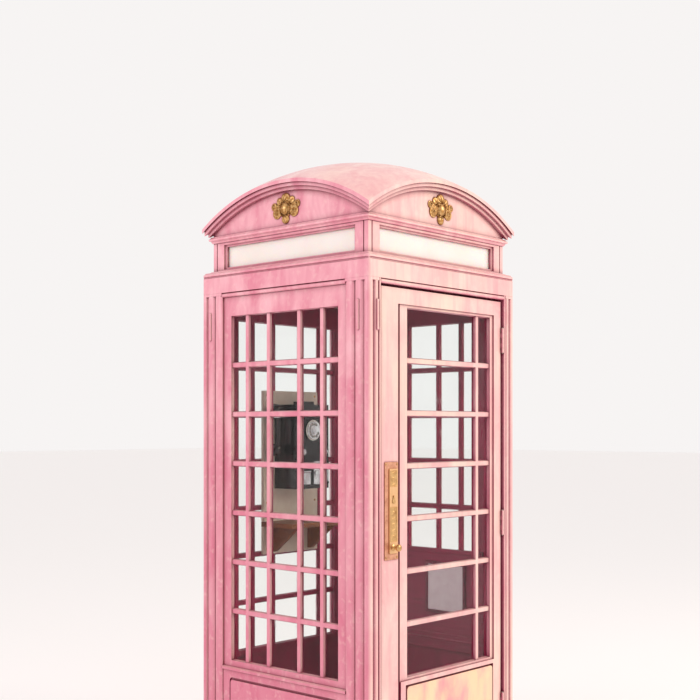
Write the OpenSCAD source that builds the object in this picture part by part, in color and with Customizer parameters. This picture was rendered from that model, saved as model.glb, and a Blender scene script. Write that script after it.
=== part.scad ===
// Square cast-iron telephone booth with a shallow domed roof: four corner posts, three glazed
// wall castings, a timber door with a glazed upper part, and a wall telephone inside.
// Frame: +Z up, origin on the ground under the middle of the booth, the door faces -Y.
// "Depth" is measured inwards from the outermost plane of a face.

/* [Booth] */
// Width over the reeded faces
booth_w = 915; // [905:5:925]
// Height from the ground to the top of the dome
booth_h = 2515; // [2505:5:2520]

/* [Glazing] */
// Height of the lowest pane's bottom edge
glass_z = 505; // [502:1:508]
// Width of the glazed field
glass_w = 587; // [580:1:588]
// Width of the narrow margin panes
margin_w = 80; // [70:1:88]
// Width of the middle pane in a window's wide field
middle_w = 151; // [130:1:170]
// Face width of a glazing bar
bar_w = 17; // [14:1:20]

/* [Door] */
// Width of the door leaf
door_w = 753; // [751:1:755]
// Thickness of the door leaf
door_t = 44; // [43:1:46]

/* [Roof] */
// Radius of the sphere that the dome is cut from
dome_r = 937; // [930:1:945]
// Thickness of the dome shell
dome_t = 12; // [10:1:14]

/* [Hidden] */
$fn = 64;
half = booth_w / 2;

// Heights
pane_rows = 7;
row_pitch = 198;
base_h = 45;
wall_z = 75;
block_z = 140;
glass_top = glass_z + pane_rows * row_pitch;
head_z = glass_top + 77;
band_z = head_z + 18;
reed_top = band_z - 11;
fascia_z = band_z + 95;
cornice_z = fascia_z + 115;
tympanum_z = cornice_z + 27;
dome_z = booth_h - dome_r;

// Plan of the corner and of the castings
bead_r = 15;
post_side = 74;
post_front = 58;
plate_d = 10;
plate_t = 16;
flange_t = 10;
reed_rise = 7;
opening_half = half - 119;
wall_half = half - post_side;
fascia_d = 33.5;
fascia_t = 20;

// Bolts between the castings
bolt_heights = [300, 800, 1300, 1800];
bolt_in = 56;
bolt_r = 6;
bolt_hole_r = 6.2;

// Glazing
sash_d = 14;
sash_t = 30;
grid_inset = 5;
pane_t = 4;
glass_half = glass_w / 2;
side_w = (glass_w - 2 * margin_w - middle_w) / 2 - 2 * bar_w;

// A light is one column of panes, [left edge, width], and a field of glass is a list of lights
window_lights = [
    [-glass_half, margin_w],
    [-glass_half + margin_w + bar_w, side_w],
    [-middle_w / 2, middle_w],
    [middle_w / 2 + bar_w, side_w],
    [glass_half - margin_w, margin_w]];

// Door and its frame
door_half = door_w / 2;
door_d = 12;
door_gap = 12;
door_bottom = 80;
door_top = head_z - 9;
jamb_in = door_half + door_gap;
jamb_out = half - post_front;
stop_d = door_d + door_t + 1;
stop_t = 13;
door_x0 = -280;
door_x1 = 330;
door_groove = 16;
door_glass_x0 = -221;
door_glass_x1 = 310;
door_margin_w = 74;
door_lights = [
    [door_glass_x0, door_glass_x1 - door_margin_w - bar_w - door_glass_x0],
    [door_glass_x1 - door_margin_w, door_margin_w]];
kick_x0 = door_x0 + door_groove + 28;
kick_x1 = door_x1 - 6;
kick_z0 = 148;
kick_z1 = glass_z - 26;
hinge_z = [250, 1000, 1750];
hinge_h = 100;
knuckle_r = 5.6;
pin_r = 3.2;
hinge_x = door_half + door_gap / 2;
hinge_d = knuckle_r + 0.3;

// Lock on the door's left stile
lock_x = -314;
knob_z = 1000;
keyhole_z = 1172;
bolt_z = 1035;
bolt_h = 24;
bolt_w = 14;
bolt_len = 50;
case_z0 = 975;
case_z1 = 1195;
case_len = 80;
case_t = 20;
spindle_r = 4;

// Inside
board_y = half - sash_d - sash_t;
board_t = 16;
phone_w = 200;
phone_h = 360;
phone_d = 130;
phone_z = 1180;
shell_t = 4;
phone_back = board_y - board_t;
phone_front = phone_back - phone_d;
dial_z = phone_z + 250;
dial_r = 38;
button_r = 13;
button_x = 66;
button_z = phone_z + 158;
cup_x = -50;
cup_w = 62;
cup_h = 50;
cup_z = phone_z + 22;
cash_x = 46;
cash_w = 84;
cash_h = 100;
cash_z = phone_z + 18;
cash_axis_x = cash_x + cash_w / 2 + 3;
pivot_r = 2;
hook_y = 330;
hook_z = phone_z + 306;
hook_pivot_x = -82;
hook_lug_z = 9;
handset_x = -142;
ear_r = 28;
ear_z = hook_z + 28.6;
handle_r = 10;
prong_r = 3.5;
shelf_z = 1020;
board_half = 165;
shelf_half = 180;
dado_top = 900;

paint = "lightpink";
paint_light = "mistyrose";
gilt = "goldenrod";
brass = "darkgoldenrod";

// ---------- helpers ----------

// A box on the front face, from depth d0 to depth d1
module face_box(x0, x1, d0, d1, z0, z1) {
    translate([x0, -half + d0, z0]) cube([x1 - x0, d1 - d0, z1 - z0]);
}

// Turns what is drawn on the front face to the named face
module on_face(name) {
    turn = name == "front" ? 0 : name == "right" ? 90 : name == "back" ? 180 : 270;
    rotate([0, 0, turn]) children();
}

module rounded_rect(w, h, r) {
    square([w - 2 * r, h], center = true);
    square([w, h - 2 * r], center = true);
    for (x = [-1, 1], y = [-1, 1])
        translate([x * (w / 2 - r), y * (h / 2 - r)]) circle(r);
}

// A panel with round corners on the front face
module face_panel(x_half, d0, d1, z0, z1, r) {
    translate([0, -half + d1, (z0 + z1) / 2]) rotate([90, 0, 0])
        linear_extrude(d1 - d0) rounded_rect(2 * x_half, z1 - z0, r);
}

// Plan of one reed: a strip whose outer side is a shallow arc
module reed_plan(x0, x1, depth) {
    w = x1 - x0;
    r = (w * w / 4 + reed_rise * reed_rise) / (2 * reed_rise);
    intersection() {
        translate([(x0 + x1) / 2, r]) circle(r, $fn = 120);
        translate([x0, 0]) square([w, depth]);
    }
}

module reed(x0, x1, z0, z1) {
    translate([0, -half, z0]) linear_extrude(z1 - z0) reed_plan(x0, x1, plate_d + 1);
}

// Keeps the quarter of a square ring that belongs to the front face, mitred at 45 degrees
module mitre_wedge() {
    reach = booth_w;
    translate([0, 0, -100]) linear_extrude(booth_h + 200)
        polygon([[0, 0], [-reach, -reach], [reach, -reach]]);
}

// A square ring whose section is a polygon of [distance from the middle, height]
module mitred_ring(section) {
    for (turn = [0:90:270])
        rotate([0, 0, turn]) intersection() {
            rotate([90, 0, 90]) translate([0, 0, -booth_w / 2 - 40])
                linear_extrude(booth_w + 80) polygon([for (p = section) [-p[0], p[1]]]);
            mitre_wedge();
        }
}

// ---------- base ----------

module concrete_base() {
    edge = half + 13;
    color("silver") difference() {
        mitred_slab(edge, base_h, 8);
        for (x = [-1, 1], y = [-1, 1])
            translate([x * 330, y * 330, -1]) cylinder(h = base_h + 2, r = 9);
        translate([0, 300, -1]) cylinder(h = base_h + 2, r = 25);
    }
}

// A square slab with a chamfer round its upper edge
module mitred_slab(edge, height, chamfer) {
    section = [[0, 0], [edge, 0], [edge, height - chamfer], [edge - chamfer, height], [0, height]];
    mitred_ring(section);
}

module sill_ring() {
    inner = half - 64;
    edge = half + 4;
    section = [[inner, base_h], [edge, base_h], [edge, wall_z - 6], [edge - 6, wall_z], [inner, wall_z]];
    color(paint) mitred_ring(section);
}

module floor_plate() {
    edge = half - 64.5;
    color("dimgray") difference() {
        translate([-edge, -edge, base_h]) cube([2 * edge, 2 * edge, 20]);
        for (x = [-1, 1], y = [-1, 1])
            translate([x * 330, y * 330, base_h - 1]) cylinder(h = 22, r = 22);
        translate([0, 300, base_h - 1]) cylinder(h = 22, r = 32);
    }
}

module threshold() {
    color(brass) face_box(-jamb_in, jamb_in, 4, stop_d + stop_t, wall_z, wall_z + 3);
}

// ---------- corner posts and wall castings ----------

// Plan of a post in the corner's own axes: x along the first face, y along the second
module post_plan(first_leg, second_leg) {
    translate([bead_r, bead_r]) circle(bead_r);
    translate([8, 8]) square([first_leg - 8, plate_t + 2]);
    translate([8, 8]) square([plate_t + 2, second_leg - 8]);
    reed_plan(2 * bead_r + 3, first_leg - 1, plate_d);
    mirror([1, -1]) reed_plan(2 * bead_r + 3, second_leg - 1, plate_d);
}

// Plan of the plain blocks at a post's foot and head
module block_plan(first_leg, second_leg) {
    outline = plate_t + 10;
    translate([bead_r, bead_r]) circle(bead_r);
    translate([bead_r, 1]) square([first_leg - bead_r, outline - 1]);
    translate([1, bead_r]) square([outline - 1, second_leg - bead_r]);
}

module post(first_leg, second_leg, second_bolts, first_bolts) {
    color(paint) translate([-half, -half, 0]) difference() {
        union() {
            translate([0, 0, block_z]) linear_extrude(reed_top - block_z) post_plan(first_leg, second_leg);
            translate([0, 0, wall_z]) linear_extrude(block_z - wall_z) block_plan(first_leg, second_leg);
            translate([0, 0, reed_top]) linear_extrude(band_z - reed_top) block_plan(first_leg, second_leg);
        }
        for (z = bolt_heights) {
            if (second_bolts) translate([plate_d + 2, bolt_in, z]) rotate([0, 90, 0]) bolt_hole();
            if (first_bolts) translate([bolt_in, plate_d + 2, z]) rotate([-90, 0, 0]) bolt_hole();
        }
    }
}

module bolt_hole() { cylinder(h = 20, r = bolt_hole_r); }

module post_front_left() { post(post_front, post_side, true, false); }
module post_front_right() { mirror([1, 0, 0]) post(post_front, post_side, true, false); }
module post_back_left() { mirror([0, 1, 0]) post(post_side, post_side, true, true); }
module post_back_right() { mirror([0, 1, 0]) mirror([1, 0, 0]) post(post_side, post_side, true, true); }

// One wall casting, drawn on the front face
module wall_casting() {
    flange_out = half - 38;
    flange_in = opening_half + 18;
    color(paint) difference() {
        union() {
            face_box(-wall_half, wall_half, plate_d, plate_d + plate_t, wall_z, band_z);
            face_box(-wall_half, wall_half, 1, plate_d + plate_t, wall_z, block_z);
            for (turned = [0, 1]) mirror([turned, 0, 0]) {
                reed(opening_half, wall_half - 2, block_z, reed_top);
                face_box(opening_half, wall_half, 1, plate_d + 1, reed_top, band_z);
                face_box(flange_in, flange_out, plate_d + plate_t,
                         plate_d + plate_t + flange_t, wall_z, band_z);
            }
            head_reed(opening_half, 2);
            face_panel(290, 6, plate_d + 1, 168, 428, 12);
            window_sill();
        }
        face_box(-opening_half, opening_half, -5, plate_d + plate_t + 5, glass_z - 24, head_z);
        difference() {
            face_panel(299, -5, plate_d + 6, 159, 437, 16);
            face_panel(290, -6, plate_d + 7, 168, 428, 12);
        }
        for (side = [-1, 1], z = bolt_heights)
            translate([side * (half - bolt_in), -half + plate_d + plate_t - 1, z]) rotate([-90, 0, 0])
                bolt_hole();
    }
}

// The half-round moulding over an opening
module head_reed(x_half, d) {
    r = (band_z - head_z) / 2;
    translate([-x_half, -half + d + r, head_z + r]) rotate([0, 90, 0]) cylinder(h = 2 * x_half, r = r);
    face_box(-x_half, x_half, d + r, plate_d + 6, head_z, band_z);
}

module window_sill() {
    top = glass_z - 24;
    translate([-opening_half, 0, 0]) rotate([90, 0, 90]) linear_extrude(2 * opening_half)
        polygon([[-half + 3, top - 14], [-half + 3, top - 5], [-half + plate_d + 1, top],
                 [-half + plate_d + 1, top - 14]]);
}

module left_wall() { on_face("left") wall_casting(); }
module right_wall() { on_face("right") wall_casting(); }
module back_wall() { on_face("back") wall_casting(); }

// Hexagon bolts that clamp the wall flanges to the posts, from inside
module casting_bolts() {
    seat = plate_d + plate_t + flange_t;
    color("lightslategray")
        for (name = ["left", "right", "back"], side = [-1, 1], z = bolt_heights)
            on_face(name) translate([side * (half - bolt_in), -half, z]) rotate([-90, 0, 0]) {
                translate([0, 0, plate_d + 4]) cylinder(h = seat - plate_d - 4, r = bolt_r);
                translate([0, 0, seat]) cylinder(h = 8, r = 11, $fn = 6);
            }
}

// Half-round strips with ball ends that cap the tie bolts on the post faces
module tie_bolt_covers() {
    for (place = [["front", -1, 46], ["left", -1, 53], ["left", 1, 53], ["right", -1, 53],
                  ["right", 1, 53], ["back", -1, 53], ["back", 1, 53]])
        color(paint) on_face(place[0]) translate([place[1] * (half - place[2]), -half, 0]) {
            intersection() {
                union() {
                    translate([0, 0, 1800]) cylinder(h = 102, r = 6);
                    for (z = [1800, 1902]) translate([0, 0, z]) sphere(6.5);
                }
                translate([-10, -10, 1780]) cube([20, 10, 140]);
            }
        }
}

// ---------- window glazing ----------

function field_left(lights) = lights[0][0];
function field_right(lights) = lights[len(lights) - 1][0] + lights[len(lights) - 1][1];

// Glazing bars of one field, between two depths
module bar_grid(lights, d0, d1) {
    for (i = [1:len(lights) - 1])
        face_box(lights[i][0] - bar_w, lights[i][0], d0, d1, glass_z, glass_top);
    for (row = [1:pane_rows - 1]) {
        z = glass_z + row * row_pitch;
        face_box(field_left(lights), field_right(lights), d0, d1, z - bar_w / 2, z + bar_w / 2);
    }
}

// A frame round the glazed field with the grid of bars in it
module glazing_frame(lights, x0, x1, z0, z1, depth, thick) {
    difference() {
        face_box(x0, x1, depth, depth + thick, z0, z1);
        face_box(field_left(lights), field_right(lights), depth - 1, depth + thick + 1, glass_z, glass_top);
    }
    bar_grid(lights, depth + grid_inset, depth + thick - grid_inset);
}

// The separate panes of one field, columns times rows
module panes(lights, depth) {
    for (light = lights, row = [0:pane_rows - 1]) {
        bottom = glass_z + row * row_pitch + (row > 0 ? bar_w / 2 : 0);
        top = glass_z + (row + 1) * row_pitch - (row < pane_rows - 1 ? bar_w / 2 : 0);
        face_box(light[0], light[0] + light[1], depth, depth + pane_t, bottom, top);
    }
}

module sash() {
    edge = opening_half - 0.3;
    color(paint) glazing_frame(window_lights, -edge, edge, glass_z - 24, head_z - 0.5, sash_d, sash_t);
}
module sash_panes() { color("lightblue", 0.35) panes(window_lights, sash_d + (sash_t - pane_t) / 2); }
module left_sash() { on_face("left") sash(); }
module right_sash() { on_face("right") sash(); }
module back_sash() { on_face("back") sash(); }
module left_panes() { on_face("left") sash_panes(); }
module right_panes() { on_face("right") sash_panes(); }
module back_panes() { on_face("back") sash_panes(); }

// ---------- frieze, sign fascia and roof ----------

// The plain band over the openings, with a sloped shoulder on its top
module frieze_ring() {
    inner = half - 27;
    face = half - fascia_d;
    section = [[inner, band_z], [half - 0.5, band_z], [half - 0.5, fascia_z - 31], [half - 5, fascia_z - 29],
               [half - 5, fascia_z - 25], [half - 1, fascia_z - 22], [half - 1, fascia_z - 16],
               [half - 9, fascia_z - 10], [half - 9, fascia_z - 7], [face + 10, fascia_z - 4],
               [face + 6, fascia_z], [inner - 28, fascia_z], [inner - 28, fascia_z - 12],
               [inner, fascia_z - 12]];
    color(paint) intersection() {
        mitred_ring(section);
        translate([0, 0, band_z - 1]) linear_extrude(fascia_z - band_z + 2)
            rounded_rect(booth_w, booth_w, bead_r);
    }
}

// The ring that holds the four signs, with a quirked bead on each corner
module fascia_ring() {
    face = half - fascia_d;
    back = face - fascia_t;
    sign_z = fascia_z + 55;
    section = [[back, fascia_z], [face, fascia_z], [face, cornice_z], [back, cornice_z]];
    color(paint) difference() {
        mitred_ring(section);
        for (turn = [0:90:270]) rotate([0, 0, turn]) {
            translate([-360, -face - 1, sign_z - 50]) cube([720, 9, 100]);
            translate([-350, -face - 1, sign_z - 42]) cube([700, fascia_t + 2, 84]);
            for (side = [-1, 1])
                translate([side * (face - 22) - 2, -face - 1, fascia_z - 1]) cube([4, 6, 117]);
        }
    }
}

// Opal glass panels behind the sign openings
module sign_panels() {
    back = half - fascia_d - fascia_t;
    color("white") for (turn = [0:90:270])
        rotate([0, 0, turn]) translate([-356, -back, fascia_z + 7]) cube([712, 5, 96]);
}

module cornice_ring() {
    face = half - fascia_d;
    section = [[face - fascia_t, cornice_z], [face + 3, cornice_z], [face + 7, cornice_z + 5],
               [face + 7, cornice_z + 9], [face + 15, cornice_z + 12], [face + 15, cornice_z + 19],
               [face + 9, cornice_z + 23], [face + 9, tympanum_z], [face - fascia_t, tympanum_z]];
    color(paint) mitred_ring(section);
}

// Four arched end walls under the dome's edge, each a plate with two stepped arch mouldings
module pediment_ring() {
    face = half - fascia_d;
    under_r = dome_r - dome_t;
    edge_r = sqrt(pow(under_r, 2) - half * half);
    color(paint) for (name = ["front", "right", "back", "left"]) on_face(name) intersection() {
        union() {
            arch_band(0, 900, face, face - 12);
            arch_band(edge_r - 13, 900, half - 7, face - 12);
            arch_band(edge_r - 26, 900, half - 18, face - 12);
        }
        translate([0, 0, dome_z]) sphere(under_r, $fn = 180);
        mitre_wedge();
        translate([-half, -half, tympanum_z]) cube([booth_w, booth_w, 400]);
    }
}

// Part of a disc round the dome's middle height, from one distance to another
module arch_band(r0, r1, out, in) {
    translate([0, -in, dome_z]) rotate([90, 0, 0]) linear_extrude(out - in) difference() {
        circle(r1, $fn = 180);
        if (r0 > 0) circle(r0, $fn = 180);
    }
}

// Shell cut square from a sphere, so that each side ends in an arch
module roof_dome() {
    color(paint_light) intersection() {
        translate([0, 0, dome_z]) difference() {
            sphere(dome_r, $fn = 180);
            sphere(dome_r - dome_t, $fn = 180);
        }
        translate([-half, -half, tympanum_z]) cube([booth_w, booth_w, 400]);
    }
}

// Gilded cartouche on a pediment: an oval boss between two scrolls, with a leaf above and below
module ornament() {
    face = half - fascia_d;
    color(gilt) translate([0, -face, tympanum_z + 67]) rotate([90, 0, 0]) linear_extrude(9) {
        circle(38);
        translate([0, -4]) square([112, 26], center = true);
        for (side = [-1, 1]) {
            translate([side * 46, -14]) circle(23);
            translate([side * 63, 12]) circle(15);
        }
        for (side = [-1, 1]) translate([0, side * 41]) circle(18);
    }
}
module ornament_front() { on_face("front") ornament(); }
module ornament_left() { on_face("left") ornament(); }
module ornament_back() { on_face("back") ornament(); }
module ornament_right() { on_face("right") ornament(); }

// ---------- ceiling and lamp ----------

module ceiling_panel() {
    edge = half - 27;
    color("brown") difference() {
        translate([-edge, -edge, fascia_z - 18]) cube([2 * edge, 2 * edge, 6]);
        translate([0, 0, fascia_z - 19]) cylinder(h = 8, r = 20);
    }
}

module lamp_holder() {
    under = fascia_z - 18;
    color("silver") {
        translate([0, 0, under - 14]) cylinder(h = 14, r = 42);
        translate([0, 0, under]) cylinder(h = 30, r = 19.5);
    }
}

module lamp_globe() {
    under = fascia_z - 32;
    color("white") intersection() {
        translate([0, 0, under - 24]) sphere(58);
        translate([-70, -70, under - 100]) cube([140, 140, 100]);
    }
}

// ---------- door frame and door ----------

module door_frame() {
    color(paint) difference() {
        union() {
            for (turned = [0, 1]) mirror([turned, 0, 0]) {
                face_box(jamb_in, jamb_out, 6, stop_d + stop_t, wall_z, band_z);
                translate([(jamb_in + jamb_out) / 2, -half + 6, wall_z])
                    cylinder(h = band_z - wall_z, r = (jamb_out - jamb_in) / 2);
                face_box(jamb_in - 22, jamb_in, stop_d, stop_d + stop_t, wall_z + 3, head_z);
            }
            head_reed(jamb_in, 1);
            face_box(-jamb_in, jamb_in, plate_d, stop_d + stop_t, head_z, band_z);
            face_box(-jamb_in, jamb_in, stop_d, stop_d + stop_t, head_z - 22, head_z);
        }
        face_box(-jamb_out - 1, -jamb_in + 1, door_d + 14, door_d + 30, bolt_z - 14, bolt_z + 14);
    }
}

module door_leaf() {
    color(paint_light) difference() {
        face_box(-door_half, door_half, door_d, door_d + door_t, door_bottom, door_top);
        face_box(door_x0, door_x1, 0, 80, glass_z - 10, glass_top + 10);
        face_box(kick_x0, kick_x1, 0, 80, kick_z0, kick_z1);
        // groove beside the lock stile, carried on down from the glazing
        face_box(door_x0, door_x0 + door_groove, 0, door_d + 14, kick_z0, glass_z);
        face_box(-door_half - 1, -door_half + case_len, door_d + 12, door_d + 12 + case_t, case_z0, case_z1);
        translate([lock_x, -half, knob_z]) rotate([-90, 0, 0]) cylinder(h = 80, r = 6);
        translate([lock_x, -half, keyhole_z]) rotate([-90, 0, 0]) cylinder(h = 30, r = 4);
    }
}

module door_glazing() {
    color(paint_light) difference() {
        glazing_frame(door_lights, door_x0, door_x1, glass_z - 10, glass_top + 10, door_d + 6, 32);
        face_box(door_x0 - 1, door_x0 + door_groove, 0, door_d + 22, glass_z - 20, glass_top + 20);
    }
}

module door_panes() { color("lightblue", 0.35) panes(door_lights, door_d + 20); }

// Raised and fielded panel in the door's lower part
module door_kick_panel() {
    color("peachpuff") {
        face_box(kick_x0, kick_x1, door_d + 16, door_d + 28, kick_z0, kick_z1);
        translate([(kick_x0 + kick_x1) / 2, 0, 0])
            face_panel((kick_x1 - kick_x0) / 2 - 7, door_d - 2, door_d + 16, kick_z0 + 7, kick_z1 - 7, 14);
    }
}

// One hinge's knuckles: every second one of five, round a running pin hole
module knuckles(first, side) {
    k = hinge_h / 5;
    plate_x = side < 0 ? door_half : jamb_in - 1.8;
    difference() {
        union() {
            for (i = [first:2:4])
                translate([hinge_x, -half + hinge_d, i * k + 0.2]) cylinder(h = k - 0.4, r = knuckle_r);
            for (i = [first:2:4])
                face_box(plate_x, plate_x + 1.8, hinge_d, hinge_d + 8, i * k + 0.2, (i + 1) * k - 0.2);
            face_box(plate_x, plate_x + 1.8, hinge_d + 6.2, hinge_d + 42, 0, hinge_h);
        }
        translate([hinge_x, -half + hinge_d, -1]) cylinder(h = hinge_h + 2, r = pin_r + 0.05);
    }
}

module hinge_frame_leaves() {
    color("lightslategray") for (z = hinge_z) translate([0, 0, z]) knuckles(0, 1);
}
module hinge_door_leaves() {
    color("lightslategray") for (z = hinge_z) translate([0, 0, z]) knuckles(1, -1);
}
module hinge_pins() {
    color("silver") for (z = hinge_z) translate([hinge_x, -half + hinge_d, z]) {
        translate([0, 0, -3]) cylinder(h = hinge_h + 3, r = pin_r);
        translate([0, 0, hinge_h]) cylinder(h = 3, r = knuckle_r - 0.4);
    }
}

// Long finger plate with a raised inner plate, a keyhole and the cover's pivot
module lock_plate() {
    color(brass) difference() {
        union() {
            translate([lock_x - 8, 0, 0]) face_panel(38, door_d - 3, door_d, 955, 1315, 4);
            translate([lock_x, 0, 0]) face_panel(23, door_d - 7, door_d - 3, 978, 1290, 3);
            translate([lock_x, -half + door_d - 7, keyhole_z + 15]) rotate([90, 0, 0]) {
                cylinder(h = 3, r = 2);
                translate([0, 0, 2.6]) cylinder(h = 1.2, r = 3.2);
            }
        }
        translate([lock_x, -half, knob_z]) rotate([-90, 0, 0]) cylinder(h = 20, r = 6);
        translate([lock_x, -half, keyhole_z]) rotate([-90, 0, 0]) cylinder(h = 20, r = 3);
        translate([lock_x - 1.5, -half, keyhole_z - 9]) cube([3, 20, 9]);
    }
}

module keyhole_cover() {
    color(brass) translate([lock_x, -half + door_d - 7.2, keyhole_z]) rotate([90, 0, 0])
        linear_extrude(2) difference() {
            union() {
                translate([0, -2]) circle(9);
                translate([-5, 0]) square([10, 15]);
                translate([0, 15]) circle(5);
            }
            translate([0, 15]) circle(2.1);
        }
}

module lock_case() {
    d = door_d + 12;
    color("silver") difference() {
        face_box(-door_half, -door_half + case_len, d, d + case_t, case_z0, case_z1);
        face_box(-door_half - 1, -door_half + bolt_len + 0.3, d + 3 - 0.1, d + 3 + bolt_w + 0.1,
                 bolt_z - bolt_h / 2 - 0.1, bolt_z + bolt_h / 2 + 0.1);
        translate([lock_x, -half, knob_z]) rotate([-90, 0, 0]) cylinder(h = 80, r = spindle_r + 0.05);
    }
}

module lock_bolt() {
    d = door_d + 15;
    color(brass) face_box(-door_half, -door_half + bolt_len, d, d + bolt_w,
                          bolt_z - bolt_h / 2, bolt_z + bolt_h / 2);
}

// Outer knob, spindle and inner thumb knob, which turn together
module door_knob() {
    color(brass) translate([lock_x, -half, knob_z]) {
        translate([0, door_d, 0]) rotate([90, 0, 0]) rotate_extrude()
            polygon([[0, -12], [spindle_r, -12], [spindle_r, 7.3], [12, 7.3], [12, 9.5], [6, 11], [5, 18],
                     [8, 22], [12, 26], [13.5, 31], [12, 36], [7, 39], [0, 40]]);
        rotate([-90, 0, 0]) cylinder(h = door_d + door_t + 1, r = spindle_r);
        translate([0, door_d + door_t + 0.5, 0]) rotate([-90, 0, 0]) {
            cylinder(h = 4, r = 12);
            cylinder(h = 26, r = 6);
            translate([0, 0, 14]) cylinder(h = 14, r = 14);
        }
    }
}

module strike_plate() {
    color(brass) difference() {
        face_box(-jamb_in, -jamb_in + 1.4, door_d + 6, door_d + 38, bolt_z - 35, bolt_z + 35);
        face_box(-jamb_in - 1, -jamb_in + 3, door_d + 14, door_d + 30, bolt_z - 14, bolt_z + 14);
    }
}

// Bow handle on the inside of the door
module inside_pull() {
    y = -half + door_d + door_t;
    color(brass) translate([-345, y, 0]) {
        for (z = [1240, 1400]) translate([0, 0, z]) rotate([-90, 0, 0]) {
            cylinder(h = 3, r = 14);
            cylinder(h = 42, r = 6);
        }
        translate([0, 42, 1232]) cylinder(h = 176, r = 8);
    }
}

// ---------- telephone and fittings inside ----------

module backboard() {
    color("ivory") translate([-board_half, phone_back, 900]) cube([2 * board_half, board_t, 700]);
}

// Hollow case, open against the backboard, with its pockets and bores
module phone_case() {
    inner_w = phone_w - 2 * shell_t;
    color("dimgray") difference() {
        union() {
            difference() {
                translate([-phone_w / 2, phone_front, phone_z]) cube([phone_w, phone_d, phone_h]);
                translate([-inner_w / 2, phone_front + shell_t, phone_z + shell_t])
                    cube([inner_w, phone_d, phone_h - 2 * shell_t]);
            }
            // number plate behind the dial
            translate([0, phone_front, dial_z]) rotate([90, 0, 0]) cylinder(h = 5, r = 46);
            // coin block on the top, and the coin cup's walls
            translate([-40, phone_front + 30, phone_z + phone_h]) cube([80, 46, 14]);
            translate([cup_x - cup_w / 2 - 3, phone_front + 1, cup_z - 3])
                cube([cup_w + 6, 42, cup_h + 6]);
            // sleeves that guide the two buttons
            for (x = [-button_x, button_x])
                translate([x, phone_front - 4, button_z]) rotate([-90, 0, 0]) cylinder(h = 30, r = 18);
            // two lugs inside the left side that carry the switch hook's pivot
            for (y = [hook_y - 12.3, hook_y + 8.3])
                translate([-phone_w / 2 + 2, y, hook_z - hook_lug_z]) cube([24, 4, 2 * hook_lug_z]);
            // ears beside the coin cup for the flap's pin
            for (side = [-1, 1])
                translate([cup_x + side * (cup_w / 2 + 5.8) - 1.5, phone_front - 9, cup_z + cup_h - 4])
                    cube([3, 10, 10]);
            // lugs above and below the cash door for its hinge pin
            for (z = [cash_z + 2, cash_z + cash_h - 10])
                translate([cash_axis_x - 2.5, phone_front - 8.5, z]) cube([6.5, 9, 8]);
        }
        for (x = [-24, 0, 24])
            translate([x - 1.5, phone_front + 38, phone_z + phone_h - 6]) cube([3, 30, 30]);
        translate([cup_x - cup_w / 2, phone_front - 1, cup_z]) cube([cup_w, 40, cup_h]);
        translate([cash_x - cash_w / 2, phone_front - 1, cash_z]) cube([cash_w, shell_t + 2, cash_h]);
        for (x = [-button_x, button_x])
            translate([x, phone_front - 5, button_z]) rotate([-90, 0, 0])
                cylinder(h = 50, r = button_r + 0.1);
        translate([0, phone_front - 6, dial_z]) rotate([-90, 0, 0]) cylinder(h = 20, r = 5.05);
        translate([hook_pivot_x, hook_y - 14, hook_z]) rotate([-90, 0, 0]) cylinder(h = 28, r = 3.05);
        translate([cup_x - cup_w / 2 - 9, phone_front - 4.5, cup_z + cup_h + 1]) rotate([0, 90, 0])
            cylinder(h = cup_w + 18, r = pivot_r + 0.05);
        translate([cash_axis_x, phone_front - 4.5, cash_z]) cylinder(h = cash_h, r = pivot_r + 0.05);
        // slot for the switch hook's arm
        translate([-phone_w / 2 - 1, hook_y - 5, hook_z - 5]) cube([shell_t + 2, 10, 16]);
    }
}

// Finger wheel with ten holes, on its spindle
module phone_dial() {
    color("silver") translate([0, phone_front - 5.3, dial_z]) rotate([90, 0, 0]) {
        difference() {
            cylinder(h = 5, r = dial_r);
            for (i = [0:9]) rotate([0, 0, 60 + i * 30]) translate([27, 0, -1]) cylinder(h = 7, r = 6.5);
        }
        cylinder(h = 8, r = 13);
        translate([0, 0, -18]) cylinder(h = 18, r = 5);
    }
}

module push_button(x) {
    color("silver") translate([x, phone_front - 16, button_z]) rotate([-90, 0, 0])
        cylinder(h = 40, r = button_r);
}
module button_a() { push_button(button_x); }
module button_b() { push_button(-button_x); }

// Flap that hangs in front of the coin cup from two ears
module return_flap() {
    color("silver") translate([cup_x, phone_front, cup_z]) {
        translate([-cup_w / 2 - 3, -4.5, -3]) cube([cup_w + 6, 4, cup_h + 2]);
        translate([-cup_w / 2 - 3, -4.5, cup_h + 1]) rotate([0, 90, 0]) cylinder(h = cup_w + 6, r = 4);
        translate([-cup_w / 2 - 7, -4.5, cup_h + 1]) rotate([0, 90, 0]) cylinder(h = cup_w + 14, r = pivot_r);
    }
}

// Door of the cash compartment with its lock barrel
module cash_door() {
    color("silver") translate([cash_x, phone_front, cash_z]) {
        difference() {
            translate([-cash_w / 2 + 0.5, -4, 0.5]) cube([cash_w - 1, 7.5, cash_h - 1]);
            // notches that clear the case's hinge lugs as the door swings
            for (z = [-1, cash_h - 12]) translate([cash_w / 2 - 4.5, -5, z]) cube([5, 10, 13]);
        }
        translate([-28, -4, cash_h / 2]) rotate([90, 0, 0]) cylinder(h = 5, r = 8);
        // hinge barrel, its pin and the strap that joins it to the door
        translate([cash_w / 2 + 3, -4.5, 12]) cylinder(h = cash_h - 24, r = 3.5);
        translate([cash_w / 2 + 3, -4.5, 3]) cylinder(h = cash_h - 6, r = pivot_r);
        translate([cash_w / 2 - 3, -6, 12]) cube([6, 3, cash_h - 24]);
    }
}

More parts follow.
